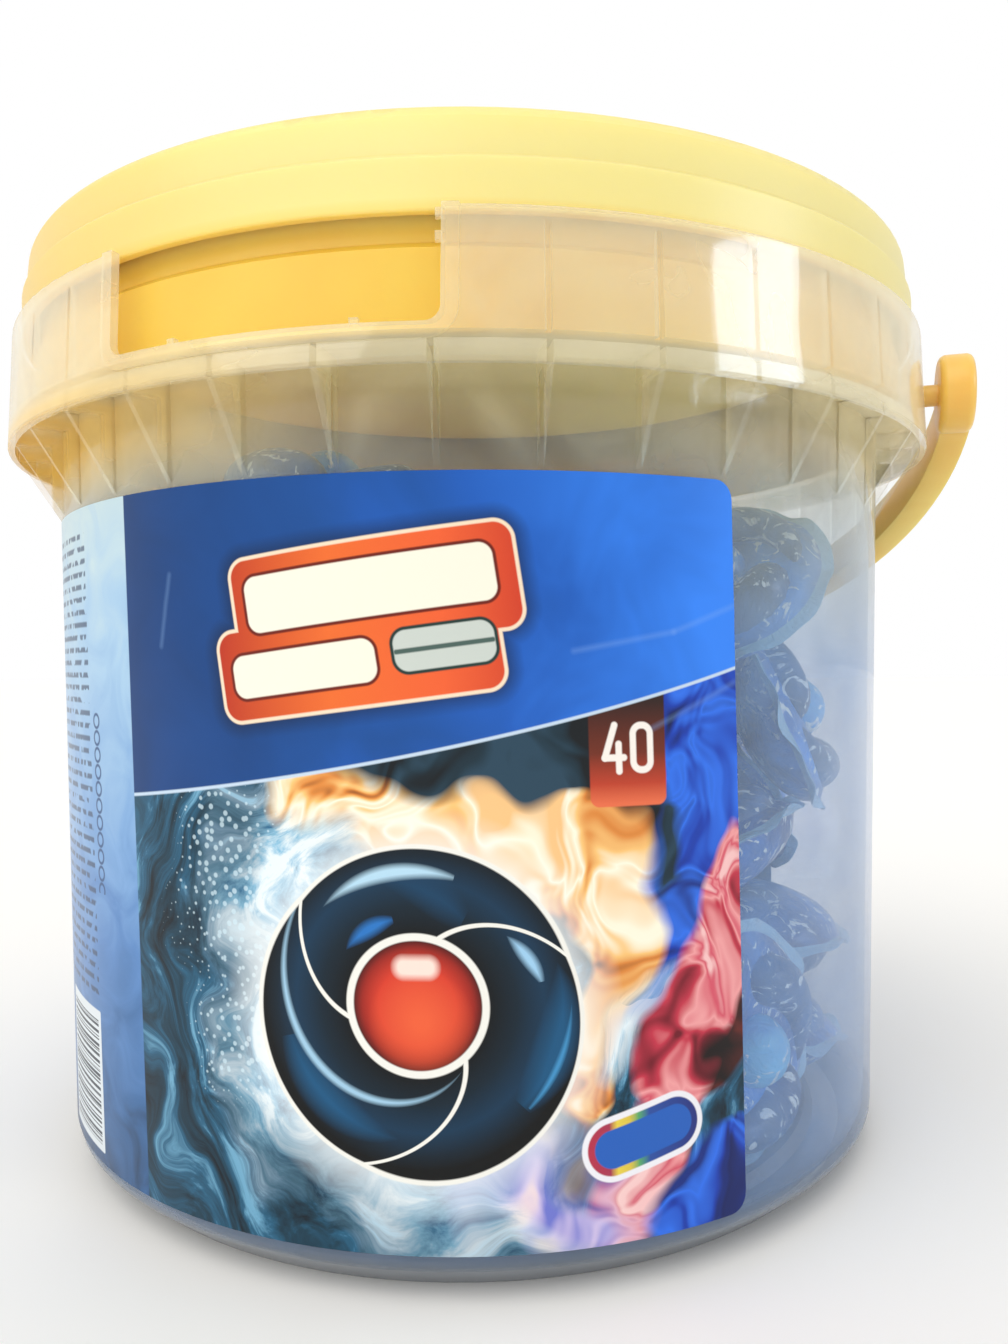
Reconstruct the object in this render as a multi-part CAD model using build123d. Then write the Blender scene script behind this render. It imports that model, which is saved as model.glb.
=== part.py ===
"""Laundry pod tub: a round translucent pail with a snap lid, a bail handle, a wrap label and forty pods.

Millimetres, +Z up. The origin is at the centre of the foot ring's underside. -Y is the front, where the
tamper tab has been torn out of the collar, and the handle turns about an axis parallel to X.
"""
from build123d import *
from math import acos, asin, atan2, cos, degrees, dist, hypot, pi, radians, sin, sqrt, tan
import os
import random

# ---- pail body
PAIL_HEIGHT = 168.7       # foot ring to rim
BODY_BASE_R = 83.7        # outside radius that the wall's line would have at z = 0
BODY_TAPER = 0.86         # half angle of the wall, degrees
WALL = 1.2
FLOOR = 1.5
FLOOR_LIFT = 1.6          # how far the floor's middle is raised above the foot ring
FOOT_IN = 6.0             # foot ring's outer edge, in from the wall
FOOT_WIDTH = 5.0          # width of the flat that the pail stands on
BASE_ROUND = 5.5          # height of the rounded corner between wall and foot
BEAD = 0.8                # snap bead's reach outside the rim
BEAD_HEIGHT = 3.0

# ---- collar
LEDGE_DROP = 29.5         # top of the ledge below the rim
LEDGE = 1.3               # ledge thickness
COLLAR_HEIGHT = 21.5
COLLAR_HANG = 4.8         # collar's lower edge below the ledge's top
COLLAR_SPACE = 8.0        # wall to the collar's inside at its lower edge
COLLAR_LEAN = 1.0         # how much narrower in radius the collar is at the top
COLLAR_WALL = 1.25
RIB_STEP = 10.0           # degrees between neighbouring ribs
RIB_WIDTH = 0.9
RIB_DEPTH = 1.5           # reach inwards from the collar
RIB_TOP_GAP = 0.9         # ribs stop this far below the collar's top edge
RIB_HEAD_GAP = 0.5        # rib to the handle's inner head
GUSSET_WIDTH = 1.0
GUSSET_DROP = 15.8        # how far a gusset runs down the wall below the ledge's underside

# ---- torn tamper window
WINDOW_HALF = 16.0        # degrees each side of the front
WINDOW_SILL = 0.5         # sill height above the ledge
WINDOW_CORNER = 2.2
FRAME_WIDTH = 2.3
FRAME_PROUD = 0.45
NUB = 1.3                 # stub of a torn bridge
NUB_SILL_ANGLE = 8.7      # stubs on the sill, degrees each side of the front
NUB_SIDE_DROPS = (1.2, 4.4)   # stubs on the window's right edge, below the collar's top

# ---- lid
SKIRT_GAP = 0.6           # lid skirt to snap bead
SKIRT_WALL = 1.3
SKIRT_STEP = 1.0          # how far the lower skirt stands out from the upper
SKIRT_STEP_DROP = 4.0     # step below the flange
SKIRT_SILL_GAP = 0.8      # skirt's lower edge above the ledge
FLANGE_GAP = 0.45         # lid flange inside the collar's top edge
FLANGE_ROUND = 0.4
FLANGE_SINK = 0.3         # flange's underside below the collar's top edge
BAND_HEIGHT = 7.7         # lower band of the lid's side
BAND_STEP = 0.7
LID_RISE = 2.5            # lid's top above the pail's rim
LID_DRAFT = 0.7           # how far the lid's side leans in between the step and the top
LID_ROUND = 2.2
LID_WALL = 1.4
SEAT_GAP = 0.3            # lid above the pail's rim
PLUG_GAP = 0.7            # recess wall inside the pail's wall
GROOVE_ROOF = 2.9         # top of the hollow in the lid's side, below the lid's top
PANEL_SINK = 6.6          # recessed panel below the lid's top
PANEL_ROUND = 1.0
PANEL_RING_R = 52.0       # stacking ring on the panel
PANEL_RING_HEIGHT = 0.8
PANEL_RING_WIDTH = 2.0

# ---- handle
PEG_R = 2.1
PEG_CLEARANCE = 0.08      # radial, in the collar's hole
HEAD_R = 5.0
HEAD_THICK = 0.8
HEAD_BEVEL = 0.4          # slope on the head's inner edge, which snaps it through its hole
HEAD_GAP = 0.2            # head to the collar's inside
HEAD_LEDGE_GAP = 2.2      # head above the ledge
BAIL_CLEARANCE = 2.6      # bail to the collar and lid as it swings over them
BAIL_WEB = 1.7
BAIL_LIP = 3.7            # how far the channel's lips stand out from the web
BAIL_LIP_THICK = 1.5
BAIL_HALF = 4.7           # half width of the strap
BAIL_REST_GAP = 0.35      # strap to the label where the bail leans on it
BOSS_R = 7.6
BOSS_INSET = 1.0          # boss reaches in past the strap
BOSS_ROUND = 1.4

# ---- label
LABEL_LOW_Z = 7.6
LABEL_TOP_GAP = 0.6       # label's top edge below the gussets' toes
LABEL_FILM = 0.12
ADHESIVE = 0.15
LABEL_BARE_HALF = 42.0    # degrees left bare each side of +X
LABEL_CORNER = 3.0

# ---- pods
POD_COUNT = 40
POD_R = 23.0              # half the width across the film
POD_THICK = 21.0
POD_GAP = 0.3             # between a pod and what it lies on
POD_SEED = 36
POD_TRIES = 50            # places tried for each pod
POD_NUDGES = 60           # small moves tried after that
NUDGE_MOVE = 8.0
NUDGE_TILT = 17.0         # degrees
NUDGE_SPIN = 23.0         # degrees
NUDGE_SHRINK = 0.97
POD_TILT = 75.0           # steepest tilt tried, degrees
HEAP_LEAN = 0.2           # the heap rises towards one side by this slope
HEAP_HIGH_ANGLE = 25.0    # direction in which the heap is highest, degrees from the front
HEAP_OUT = 0.4            # pods slide out to the wall as if the heap fell away to it by this slope
HEAP_TURN = -24.0         # the finished heap's turn about the pail's axis, degrees

# ---- what follows from the sizes above
LEDGE_Z = PAIL_HEIGHT - LEDGE_DROP
COLLAR_LOW_Z = LEDGE_Z - COLLAR_HANG
COLLAR_TOP_Z = COLLAR_LOW_Z + COLLAR_HEIGHT
SILL_Z = LEDGE_Z + WINDOW_SILL
GUSSET_TOE_Z = LEDGE_Z - LEDGE - GUSSET_DROP
LABEL_TOP_Z = GUSSET_TOE_Z - LABEL_TOP_GAP
FLANGE_Z = COLLAR_TOP_Z - FLANGE_SINK
BAND_Z = FLANGE_Z + BAND_HEIGHT
SKIRT_STEP_Z = FLANGE_Z - SKIRT_STEP_DROP
LID_TOP_Z = PAIL_HEIGHT + LID_RISE
PANEL_Z = LID_TOP_Z - PANEL_SINK
PIVOT_Z = LEDGE_Z + HEAD_LEDGE_GAP + HEAD_R
ROLL_R = POD_THICK / 2    # a pod is a flat disc of radius CORE_R grown by ROLL_R all round
CORE_R = POD_R - ROLL_R


def wall_r(z):
    """Outside radius of the pail's wall at height z."""
    return BODY_BASE_R + z * tan(radians(BODY_TAPER))


def collar_r(z):
    """Outside radius of the collar at height z."""
    low_r = wall_r(COLLAR_LOW_Z) + COLLAR_SPACE + COLLAR_WALL
    return low_r - COLLAR_LEAN * (z - COLLAR_LOW_Z) / COLLAR_HEIGHT


def turned(points, angle=360.0):
    """Solid of revolution about Z from (radius, height) corners; a corner may carry a rounding radius."""
    corners = [(p[0], 0, p[1]) for p in points]
    rounds = [p[2] if len(p) > 2 else 0 for p in points]
    outline = FilletPolyline(*corners, radius=rounds, close=True)
    return revolve(make_face(outline), Axis.Z, angle)


def plate(points, width):
    """Flat plate in the XZ plane from (radius, height) corners, standing along +X, width across Y."""
    outline = Polyline(*[(p[0], 0, p[1]) for p in points], close=True)
    return extrude(make_face(outline), width / 2, dir=(0, 1, 0), both=True)


def rod(radius, start, end):
    """Cylinder along +X between two distances from the axis."""
    upright = (Align.CENTER, Align.CENTER, Align.MIN)
    return Pos(start, 0, 0) * Rot(0, 90, 0) * Cylinder(radius, end - start, align=upright)


def at_angle(shape, angle):
    """Turn a shape that stands along +X to an angle counted from the front towards +X."""
    return Rot(0, 0, angle - 90) * shape


# ---- pail
def pail_shell():
    foot_out = wall_r(0) - FOOT_IN
    foot_in = foot_out - FOOT_WIDTH
    inner = [
        (0, FLOOR_LIFT + FLOOR),
        (foot_in - FLOOR_LIFT, FLOOR_LIFT + FLOOR),
        (foot_in, FLOOR),
        (foot_out, FLOOR),
        (wall_r(BASE_ROUND) - WALL, BASE_ROUND + FLOOR, BASE_ROUND / 2),
        (wall_r(PAIL_HEIGHT) - WALL, PAIL_HEIGHT),
    ]
    bead_r = wall_r(PAIL_HEIGHT) + BEAD
    outer = [
        (wall_r(PAIL_HEIGHT), PAIL_HEIGHT),
        (bead_r, PAIL_HEIGHT - BEAD_HEIGHT / 2),
        (wall_r(PAIL_HEIGHT - BEAD_HEIGHT), PAIL_HEIGHT - BEAD_HEIGHT),
        (wall_r(BASE_ROUND), BASE_ROUND, BASE_ROUND / 2),
        (foot_out, 0),
        (foot_in, 0),
        (foot_in - FLOOR_LIFT, FLOOR_LIFT),
        (0, FLOOR_LIFT),
    ]
    return turned(inner + outer)


def collar():
    ledge_in = wall_r(LEDGE_Z) - WALL / 2
    points = [
        (ledge_in, LEDGE_Z),
        (collar_r(LEDGE_Z) - COLLAR_WALL, LEDGE_Z),
        (collar_r(COLLAR_TOP_Z) - COLLAR_WALL, COLLAR_TOP_Z),
        (collar_r(COLLAR_TOP_Z), COLLAR_TOP_Z, 0.4),
        (collar_r(COLLAR_LOW_Z), COLLAR_LOW_Z, 0.5),
        (collar_r(COLLAR_LOW_Z) - COLLAR_WALL, COLLAR_LOW_Z),
        (collar_r(LEDGE_Z - LEDGE) - COLLAR_WALL, LEDGE_Z - LEDGE),
        (ledge_in, LEDGE_Z - LEDGE),
    ]
    return turned(points)


def rib():
    """Upright rib between ledge and collar, with a sloping foot."""
    low = collar_r(LEDGE_Z) - COLLAR_WALL
    top_z = COLLAR_TOP_Z - RIB_TOP_GAP
    top = collar_r(top_z) - COLLAR_WALL
    bite = COLLAR_WALL / 2
    points = [
        (low - RIB_DEPTH, LEDGE_Z - LEDGE / 2),
        (low - RIB_DEPTH, LEDGE_Z + RIB_DEPTH),
        (top - RIB_DEPTH / 2, top_z - RIB_DEPTH),
        (top + bite, top_z),
        (low + bite, LEDGE_Z - LEDGE / 2),
    ]
    return plate(points, RIB_WIDTH)


def gusset():
    """Triangular web under the ledge, from the collar's lower edge down the wall."""
    under = LEDGE_Z - LEDGE / 2
    toe_z = GUSSET_TOE_Z
    points = [
        (wall_r(under) - WALL / 2, under),
        (collar_r(under) - COLLAR_WALL / 2, under),
        (collar_r(COLLAR_LOW_Z) - COLLAR_WALL / 2, COLLAR_LOW_Z + COLLAR_WALL),
        (wall_r(toe_z), toe_z),
        (wall_r(toe_z) - WALL / 2, toe_z),
    ]
    return plate(points, GUSSET_WIDTH)


def rib_angles():
    """Every rib's angle, from half a step beside the front."""
    count = round(360 / RIB_STEP)
    return [RIB_STEP * (i + 0.5) for i in range(count)]


def rib_fits(angle):
    """True where a rib stands clear of the torn window and of the handle's inner heads."""
    from_front = min(angle, 360 - angle)
    from_pivot = abs(from_front - 90)
    head_room = HEAD_R + RIB_HEAD_GAP + RIB_WIDTH / 2
    in_window = from_front < WINDOW_HALF + degrees(RIB_WIDTH / collar_r(SILL_Z))
    at_pivot = from_pivot < degrees(asin(head_room / (collar_r(PIVOT_Z) - COLLAR_WALL - RIB_DEPTH)))
    return not in_window and not at_pivot


def window_block(half_width, low_z, high_z, corner, r_in, r_out):
    """Block at the front, with two rounded lower corners, kept between two radii."""
    height = high_z - low_z
    outline = Plane.XZ * Pos(0, (low_z + high_z) / 2) * Rectangle(2 * half_width, height)
    outline = fillet(outline.vertices().group_by(Axis.Z)[0], corner)
    upright = (Align.CENTER, Align.CENTER, Align.MIN)
    ring = Cylinder(r_out, height, align=upright) - Cylinder(r_in, height, align=upright)
    return extrude(outline, r_out) & Pos(0, 0, low_z) * ring


def window_half_width():
    return collar_r(SILL_Z) * sin(radians(WINDOW_HALF))


def window_frame():
    """Thickened border round the torn window, standing proud of the collar."""
    low_z = SILL_Z - FRAME_WIDTH
    band = turned([
        (collar_r(low_z) - COLLAR_WALL / 2, low_z),
        (collar_r(low_z) + FRAME_PROUD, low_z),
        (collar_r(COLLAR_TOP_Z) + FRAME_PROUD, COLLAR_TOP_Z),
        (collar_r(COLLAR_TOP_Z) - COLLAR_WALL / 2, COLLAR_TOP_Z),
    ])
    outer = window_block(window_half_width() + FRAME_WIDTH, low_z, COLLAR_TOP_Z, WINDOW_CORNER + FRAME_WIDTH,
                         collar_r(COLLAR_TOP_Z) - 2 * COLLAR_WALL, collar_r(low_z) + 2 * FRAME_PROUD)
    return band & outer


def window_cut():
    """The torn opening, from the sill up through the collar's top edge."""
    return window_block(window_half_width(), SILL_Z, COLLAR_TOP_Z + FRAME_PROUD, WINDOW_CORNER,
                        collar_r(COLLAR_TOP_Z) - 2 * COLLAR_WALL, collar_r(SILL_Z) + 2 * FRAME_PROUD)


def nub(angle, z):
    """Torn stub of one of the tab's bridges."""
    return at_angle(Pos(collar_r(z) - COLLAR_WALL / 2, 0, z) * Box(COLLAR_WALL * 0.8, NUB, NUB), angle)


def nubs():
    """Two stubs on the sill and two on the window's right edge."""
    sill = [nub(side * NUB_SILL_ANGLE, SILL_Z + NUB / 4) for side in (-1, 1)]
    edge = []
    for drop in NUB_SIDE_DROPS:
        z = COLLAR_TOP_Z - drop
        edge.append(nub(degrees(asin((window_half_width() - NUB / 4) / collar_r(z))), z))
    return sill + edge


def peg_holes():
    """Bore through both sides of the collar, left out of the body wall between them."""
    reach = collar_r(COLLAR_LOW_Z) + COLLAR_WALL
    bore = Rot(0, 90, 0) * Cylinder(PEG_R + PEG_CLEARANCE, 2 * reach)
    keep = Cylinder(wall_r(PIVOT_Z) + COLLAR_WALL, 4 * PEG_R)
    return Pos(0, 0, PIVOT_Z) * (bore - keep)


def tub():
    body = pail_shell() + collar()
    angles = rib_angles()
    body += [at_angle(rib(), a) for a in angles if rib_fits(a)]
    body += [at_angle(gusset(), a) for a in angles]
    body += window_frame()
    body -= window_cut()
    body += nubs()
    return body - peg_holes()


# ---- lid
def lid_flange_r():
    """Outside radius of the lid's flange, inside the collar's top edge."""
    return collar_r(COLLAR_TOP_Z) - COLLAR_WALL - FLANGE_GAP


def lid_top_r():
    """Radius that the lid's side would reach at its top edge."""
    return lid_flange_r() - BAND_STEP - LID_DRAFT


def lid():
    """Shell of one wall's thickness: panel, recess wall, raised rim, side band and snap skirt."""
    skirt_in = wall_r(PAIL_HEIGHT) + BEAD + SKIRT_GAP
    skirt_out = skirt_in + SKIRT_WALL
    skirt_low = LEDGE_Z + SKIRT_SILL_GAP
    flange_r = lid_flange_r()
    top_r = lid_top_r()
    roof = PAIL_HEIGHT + SEAT_GAP
    groove_top = LID_TOP_Z - GROOVE_ROOF
    plug_out = wall_r(PANEL_Z) - WALL - PLUG_GAP
    recess_r = plug_out - LID_WALL
    cover = turned([
        (0, PANEL_Z),
        (recess_r, PANEL_Z, PANEL_ROUND),
        (recess_r, LID_TOP_Z, LID_ROUND / 2),
        (top_r, LID_TOP_Z, LID_ROUND),
        (flange_r - BAND_STEP, BAND_Z + BAND_STEP / 2, BAND_STEP / 3),
        (flange_r, BAND_Z - BAND_STEP / 2, BAND_STEP / 3),
        (flange_r, FLANGE_Z, FLANGE_ROUND),
        (flange_r - LID_WALL, FLANGE_Z),
        (flange_r - LID_WALL, BAND_Z - BAND_STEP),
        (top_r - LID_WALL, groove_top),
        (skirt_out, groove_top),
        (skirt_out, SKIRT_STEP_Z + SKIRT_STEP),
        (skirt_out + SKIRT_STEP, SKIRT_STEP_Z),
        (skirt_out + SKIRT_STEP, skirt_low, SKIRT_WALL / 4),
        (skirt_in + SKIRT_STEP, skirt_low),
        (skirt_in + SKIRT_STEP, SKIRT_STEP_Z - SKIRT_WALL),
        (skirt_in, SKIRT_STEP_Z),
        (skirt_in, roof),
        (plug_out, roof),
        (plug_out, PANEL_Z - LID_WALL, PANEL_ROUND),
        (0, PANEL_Z - LID_WALL),
    ])
    ring_in = PANEL_RING_R - PANEL_RING_WIDTH
    ring = turned([
        (ring_in, PANEL_Z - LID_WALL / 2),
        (PANEL_RING_R, PANEL_Z - LID_WALL / 2),
        (PANEL_RING_R, PANEL_Z + PANEL_RING_HEIGHT, PANEL_RING_HEIGHT / 2),
        (ring_in, PANEL_Z + PANEL_RING_HEIGHT, PANEL_RING_HEIGHT / 2),
    ])
    return cover + ring


# ---- handle
def bail_r():
    """Inside radius of the bail, clear of the collar's and the lid's edges all the way over."""
    collar_reach = hypot(collar_r(COLLAR_LOW_Z), PIVOT_Z - COLLAR_LOW_Z)
    band_reach = hypot(lid_flange_r(), BAND_Z - PIVOT_Z)
    top_reach = hypot(lid_top_r(), LID_TOP_Z - PIVOT_Z)
    return max(collar_reach, band_reach, top_reach) + BAIL_CLEARANCE


def bail_rest_angle():
    """How far below level the bail hangs at the back, when its lower edge leans on the label.

    The strap's lower inside edge lies at radius bail_r() and BAIL_HALF below the bail's own plane. The
    angle puts that edge BAIL_REST_GAP outside the label's cone.
    """
    slope = tan(radians(BODY_TAPER))
    across = bail_r() + slope * BAIL_HALF
    down = BAIL_HALF - slope * bail_r()
    target = wall_r(PIVOT_Z) + ADHESIVE + LABEL_FILM + BAIL_REST_GAP
    return degrees(acos(target / hypot(across, down)) - atan2(down, across))


def bail_strap():
    """Half ring of channel section, open outwards, in the plane of the pivot axis."""
    web_in = bail_r()
    web_out = web_in + BAIL_WEB
    lip_r = web_out + BAIL_LIP
    points = [
        (web_in, -BAIL_HALF),
        (lip_r, -BAIL_HALF),
        (lip_r, -BAIL_HALF + BAIL_LIP_THICK),
        (web_out, -BAIL_HALF + BAIL_LIP_THICK),
        (web_out, BAIL_HALF - BAIL_LIP_THICK),
        (lip_r, BAIL_HALF - BAIL_LIP_THICK),
        (lip_r, BAIL_HALF),
        (web_in, BAIL_HALF),
    ]
    return turned(points, 180)


def bail_end():
    """Boss, peg and inner head at the strap's +X end."""
    collar_in = collar_r(PIVOT_Z) - COLLAR_WALL
    bow = collar_in - sqrt(collar_in ** 2 - HEAD_R ** 2)
    lean = COLLAR_LEAN / COLLAR_HEIGHT * HEAD_R
    head_out = collar_in - bow - lean - HEAD_GAP
    boss_in = bail_r() - BOSS_INSET
    boss = rod(BOSS_R, boss_in, bail_r() + BAIL_WEB + BAIL_LIP)
    boss = fillet(boss.edges().filter_by(GeomType.CIRCLE), BOSS_ROUND)
    peg = rod(PEG_R, head_out - HEAD_THICK / 2, boss_in + BOSS_INSET)
    head = rod(HEAD_R, head_out - HEAD_THICK, head_out)
    head = chamfer(head.edges().filter_by(GeomType.CIRCLE).group_by(Axis.X)[0], HEAD_BEVEL)
    return boss + peg + head


def handle():
    bail = bail_strap() + bail_end() + mirror(bail_end(), Plane.YZ)
    return Pos(0, 0, PIVOT_Z) * Rot(-bail_rest_angle(), 0, 0) * bail


# ---- label
def label():
    """Film wrapped round the wall, with rounded corners, bare about the +X side."""
    inside = ADHESIVE
    outside = ADHESIVE + LABEL_FILM
    film = turned([
        (wall_r(LABEL_LOW_Z) + inside, LABEL_LOW_Z),
        (wall_r(LABEL_LOW_Z) + outside, LABEL_LOW_Z),
        (wall_r(LABEL_TOP_Z) + outside, LABEL_TOP_Z),
        (wall_r(LABEL_TOP_Z) + inside, LABEL_TOP_Z),
    ])
    mid_z = (LABEL_LOW_Z + LABEL_TOP_Z) / 2
    gap_width = 2 * wall_r(mid_z) * sin(radians(LABEL_BARE_HALF))
    reach = 2 * wall_r(LABEL_TOP_Z)
    side_on = (Align.MIN, Align.CENTER, Align.CENTER)
    bare = Pos(0, 0, mid_z) * Box(reach, gap_width, LABEL_TOP_Z, align=side_on)
    for z, up in ((LABEL_LOW_Z, 1), (LABEL_TOP_Z, -1)):
        for side in (-1, 1):
            square = Box(reach, 2 * LABEL_CORNER, 2 * LABEL_CORNER, align=side_on)
            centre = Pos(0, side * (gap_width / 2 + LABEL_CORNER), z + up * LABEL_CORNER)
            bare += Pos(0, side * gap_width / 2, z) * square - centre * rod(LABEL_CORNER, 0, reach)
    return film - bare


# ---- pods
def pod():
    """Closed pillow form of one pod, lying level at the origin."""
    outline = Line((0, 0, -ROLL_R), (CORE_R, 0, -ROLL_R))
    outline += ThreePointArc((CORE_R, 0, -ROLL_R), (POD_R, 0, 0), (CORE_R, 0, ROLL_R))
    outline += Line((CORE_R, 0, ROLL_R), (0, 0, ROLL_R))
    outline += Line((0, 0, ROLL_R), (0, 0, -ROLL_R))
    return revolve(make_face(outline), Axis.Z, 360)


def nearest_on_disc(disc, point):
    """Point of a pod's core disc, given as centre and normal, nearest to a given point."""
    centre, normal = disc
    away = [p - c for p, c in zip(point, centre)]
    height = sum(a * n for a, n in zip(away, normal))
    flat = [a - height * n for a, n in zip(away, normal)]
    length = hypot(*flat)
    scale = CORE_R / length if length > CORE_R else 1.0
    return [c + f * scale for c, f in zip(centre, flat)]


def core_distance(one, other):
    """Distance between two pods' core discs, by stepping from each to the other."""
    point = other[0]
    last = float("inf")
    while True:
        mine = nearest_on_disc(one, point)
        point = nearest_on_disc(other, mine)
        gap = dist(mine, point)
        if last - gap < 1e-3:
            return gap
        last = gap


def rest_height(x, y, normal, laid):
    """Height at which a pod let down at (x, y) first meets the floor or another pod."""
    dip = CORE_R * sqrt(1 - normal[2] ** 2)
    floor_z = FLOOR_LIFT + FLOOR + POD_GAP + ROLL_R + dip
    reach = 2 * POD_R + POD_GAP
    near = [p for p in laid if hypot(p[0][0] - x, p[0][1] - y) < reach]
    z = max([p[0][2] + reach for p in near], default=floor_z)
    while z > floor_z:
        gap = z
        for other in near:
            if dist((x, y, z), other[0]) - 2 * CORE_R < gap:
                gap = min(gap, core_distance(((x, y, z), normal), other))
        gap -= 2 * ROLL_R + POD_GAP
        if gap < 0.03:
            return z
        z -= gap
    return floor_z


def rim_reach(x, y, tilt, spin):
    """Largest distance from the pail's axis of a pod's core disc."""
    reach = 0
    for step in range(16):
        turn = step * pi / 8
        along = CORE_R * cos(turn) * cos(tilt)
        aside = CORE_R * sin(turn)
        rim_x = x + along * cos(spin) - aside * sin(spin)
        rim_y = y + along * sin(spin) + aside * cos(spin)
        reach = max(reach, hypot(rim_x, rim_y))
    return reach


def judge(place, laid):
    """Cost, centre and normal of a pod let down at a place, or None if it doesn't fit in the pail."""
    x, y, tilt, spin = place
    if rim_reach(x, y, tilt, spin) > wall_r(ROLL_R) - WALL - POD_GAP - ROLL_R:
        return None
    normal = (sin(tilt) * cos(spin), sin(tilt) * sin(spin), cos(tilt))
    z = rest_height(x, y, normal, laid)
    high = radians(HEAP_HIGH_ANGLE)
    aside = x * sin(high) - y * cos(high)
    return z - HEAP_LEAN * aside - HEAP_OUT * hypot(x, y), (x, y, z), normal


def better(place, best, laid):
    """The cheaper of a new place and the best so far, each as (place, judgement)."""
    found = judge(place, laid)
    if found is None or (best is not None and found[0] >= best[1][0]):
        return best
    return place, found


def settle(laid, draw):
    """Centre and normal of the next pod: the lowest of several random places, then nudged downhill."""
    best = None
    while best is None:
        for _ in range(POD_TRIES):
            turn = draw.uniform(0, 2 * pi)
            away = wall_r(0) * sqrt(draw.random())
            tilt = radians(POD_TILT) * draw.random()
            spin = draw.uniform(0, 2 * pi)
            best = better((away * cos(turn), away * sin(turn), tilt, spin), best, laid)
    size = 1.0
    for _ in range(POD_NUDGES):
        x, y, tilt, spin = best[0]
        moved = (
            x + size * NUDGE_MOVE * draw.uniform(-1, 1),
            y + size * NUDGE_MOVE * draw.uniform(-1, 1),
            tilt + size * radians(NUDGE_TILT) * draw.uniform(-1, 1),
            spin + size * radians(NUDGE_SPIN) * draw.uniform(-1, 1),
        )
        before = best
        best = better(moved, best, laid)
        if best is before:
            size *= NUDGE_SHRINK
    return best[1][1:]


def swung(x, y, z):
    """A point or direction turned about the pail's axis with the finished heap."""
    turn = radians(HEAP_TURN)
    return x * cos(turn) - y * sin(turn), x * sin(turn) + y * cos(turn), z


def heap():
    """Centres and normals of all the pods, let down one after another and turned as one."""
    draw = random.Random(POD_SEED)
    laid = []
    for _ in range(POD_COUNT):
        laid.append(settle(laid, draw))
    return [(swung(*centre), swung(*normal)) for centre, normal in laid]


def main():
    os.makedirs("parts", exist_ok=True)
    export_step(tub(), "parts/tub.step")
    export_step(lid(), "parts/lid.step")
    export_step(handle(), "parts/handle.step")
    export_step(label(), "parts/label.step")
    shape = pod()
    for number, (centre, normal) in enumerate(heap(), start=1):
        placed = Plane(origin=centre, z_dir=normal) * shape
        export_step(placed, f"parts/pod_{number:02d}.step")


main()
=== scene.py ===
import math

import bpy
import numpy as np
from mathutils import Matrix, Vector


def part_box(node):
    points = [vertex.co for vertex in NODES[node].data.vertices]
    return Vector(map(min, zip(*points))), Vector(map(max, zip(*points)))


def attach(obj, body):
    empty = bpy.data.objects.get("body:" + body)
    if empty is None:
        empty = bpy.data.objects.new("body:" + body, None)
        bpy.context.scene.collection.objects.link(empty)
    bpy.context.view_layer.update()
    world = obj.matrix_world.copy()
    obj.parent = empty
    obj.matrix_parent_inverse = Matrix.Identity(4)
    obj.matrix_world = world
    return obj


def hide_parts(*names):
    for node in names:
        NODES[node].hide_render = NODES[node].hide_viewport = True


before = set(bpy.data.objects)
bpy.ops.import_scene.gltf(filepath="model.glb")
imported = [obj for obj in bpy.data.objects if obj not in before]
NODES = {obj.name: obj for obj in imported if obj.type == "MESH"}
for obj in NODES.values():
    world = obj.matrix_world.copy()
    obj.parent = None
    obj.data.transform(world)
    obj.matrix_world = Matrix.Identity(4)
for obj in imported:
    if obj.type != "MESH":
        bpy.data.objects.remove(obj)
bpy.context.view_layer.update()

MM = 0.001
POD_NAMES = sorted(name for name in NODES if name.startswith("pod_"))


# ---------------------------------------------------------------- helpers
def linear(hex_colour):
    """Linear colour of an sRGB hex value."""
    values = [int(hex_colour[i:i + 2], 16) / 255 for i in (1, 3, 5)]
    return (*[v / 12.92 if v <= 0.04045 else ((v + 0.055) / 1.055) ** 2.4 for v in values], 1.0)


def add(tree, kind, *values, inputs=(), stops=(), **settings):
    """Add a shader node: its settings, then its inputs in order or by name, and a ramp's colours.

    An input is a number, a hex colour, a node (its first output) or a socket.
    """
    node = tree.nodes.new("ShaderNode" + kind)
    for name, value in settings.items():
        setattr(node, name, value)
    sockets = [s for s in node.inputs if s.enabled]
    for socket, value in [*zip(sockets, values), *((node.inputs[n], v) for n, v in dict(inputs).items())]:
        if isinstance(value, bpy.types.Node):
            value = next(s for s in value.outputs if s.enabled)
        if isinstance(value, bpy.types.NodeSocket):
            tree.links.new(value, socket)
        else:
            socket.default_value = linear(value) if isinstance(value, str) else value
    while stops and len(node.color_ramp.elements) < len(stops):
        node.color_ramp.elements.new(0.5)
    for i, (position, colour) in enumerate(stops):
        node.color_ramp.elements[i].position = position
        node.color_ramp.elements[i].color = linear(colour)
    return node


def new_material(name, **values):
    """Node material with a shader, its fixed inputs set, joined to the output."""
    material = bpy.data.materials.new(name)
    material.use_nodes = True
    tree = material.node_tree
    tree.nodes.clear()
    shader = add(tree, "BsdfPrincipled", inputs={n.replace("_", " "): v for n, v in values.items()})
    add(tree, "OutputMaterial", shader)
    return material, tree, shader


def use(obj, material):
    """Give an object one material."""
    obj.data.materials.clear()
    obj.data.materials.append(material)


def deselect():
    bpy.ops.object.select_all(action="DESELECT")


def only(obj):
    """Select one object and make it active."""
    deselect()
    obj.select_set(True)
    bpy.context.view_layer.objects.active = obj


def apply_modifiers(obj):
    only(obj)
    for modifier in list(obj.modifiers):
        bpy.ops.object.modifier_apply(modifier=modifier.name)


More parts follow.
